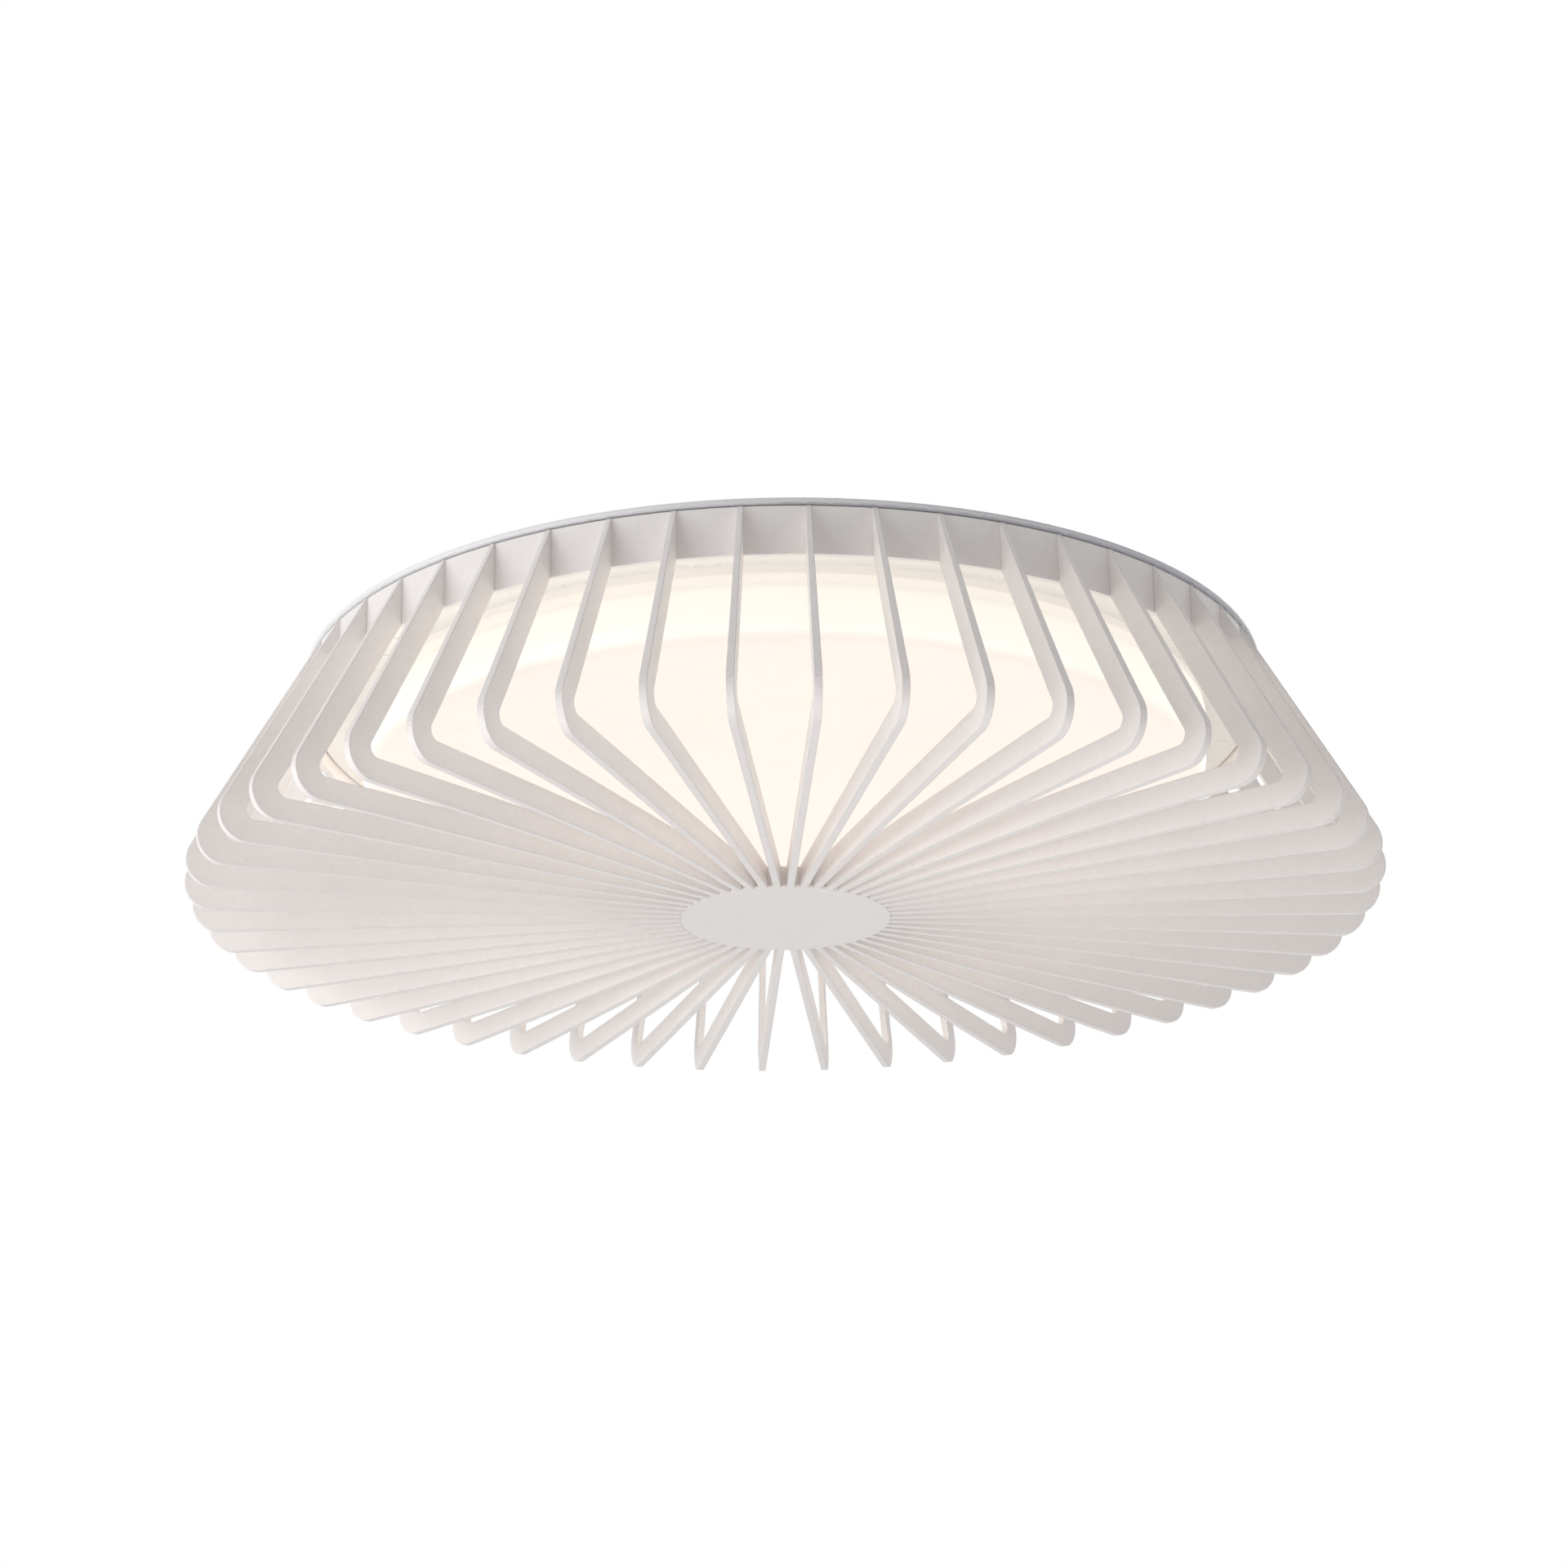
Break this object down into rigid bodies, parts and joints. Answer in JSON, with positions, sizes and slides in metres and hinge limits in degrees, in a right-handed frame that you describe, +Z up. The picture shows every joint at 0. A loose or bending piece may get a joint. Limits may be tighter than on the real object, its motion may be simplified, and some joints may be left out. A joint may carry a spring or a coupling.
{
  "type": "led ceiling light",
  "caption": "Round flush ceiling light: a shallow pan and lit opal drum inside a flared cage of slim upright ribs that turn in to a small flat hub.",
  "frame": {"origin": "on the ceiling plane, at the middle of the crossbar's top face", "axes": "+Z up, out of the ceiling-side face; the light hangs below z = 0; -Y is the front; the ceiling slots lie along X"},
  "size_m": [0.5, 0.4996, 0.1033],
  "materials": {
    "cage_plastic": "satin moulded white",
    "pan_paint": "satin white powder coat",
    "opal_plastic": "opal, lit from inside, warm white",
    "ring_plastic": "satin moulded white",
    "zinc_steel": "zinc plated",
    "screw_steel": "zinc plated",
    "clamp_brass": "plain",
    "seal_foam": "closed-cell foam",
    "grommet_rubber": "soft black",
    "cover_plastic": "satin moulded white",
    "terminal_plastic": "natural white",
    "board_white": "white solder mask on aluminium",
    "board_green": "green laminate",
    "chip_phosphor": "yellow phosphor",
    "lens_clear": "clear moulded",
    "ferrite": "dark ferrite and winding",
    "capacitor_sleeve": "blue sleeve",
    "choke_copper": "enamelled copper",
    "mains_insulation": "brown and blue insulation",
    "output_insulation": "red and black insulation",
    "earth_insulation": "green and yellow insulation"
  },
  "bodies": {
    "base": {"crossbar": "zinc_steel", "pan_screws": "screw_steel", "pan": "pan_paint", "rim_seal": "seal_foam", "cable_grommet": "grommet_rubber", "terminal_block": "terminal_plastic", "terminal_clamps": "clamp_brass", "terminal_screws": "screw_steel", "terminal_fixing_screws": "screw_steel", "earth_stud": "screw_steel", "earth_lug": "clamp_brass", "earth_nut": "screw_steel", "earth_wire": "earth_insulation", "standoffs": "terminal_plastic", "driver_board": "board_green", "driver_screws": "screw_steel", "transformer": "ferrite", "capacitors": "capacitor_sleeve", "choke": "choke_copper", "driver_connectors": "terminal_plastic", "mains_wires": "mains_insulation", "output_wires": "output_insulation", "gear_cover": "cover_plastic", "cover_screws": "screw_steel", "light_board": "board_white", "light_chips": "chip_phosphor", "lenses": "lens_clear", "board_connector": "terminal_plastic", "board_screws": "screw_steel", "diffuser_ring": "ring_plastic", "ring_screws": "screw_steel"},
    "diffuser": {"diffuser": "opal_plastic"},
    "cage": {"band": "cage_plastic", "upper_ribs": "cage_plastic", "lower_ribs": "cage_plastic", "hub": "cage_plastic"}
  },
  "joints": [
    {"name": "cage_twist", "type": "hinge", "parent": "base", "child": "cage", "pos_m": [0, 0, 0], "axis": [0, 0, 1], "range_deg": [0, 9]},
    {"name": "diffuser_twist", "type": "hinge", "parent": "base", "child": "diffuser", "pos_m": [0, 0, 0], "axis": [0, 0, 1], "range_deg": [0, 14]}
  ]
}
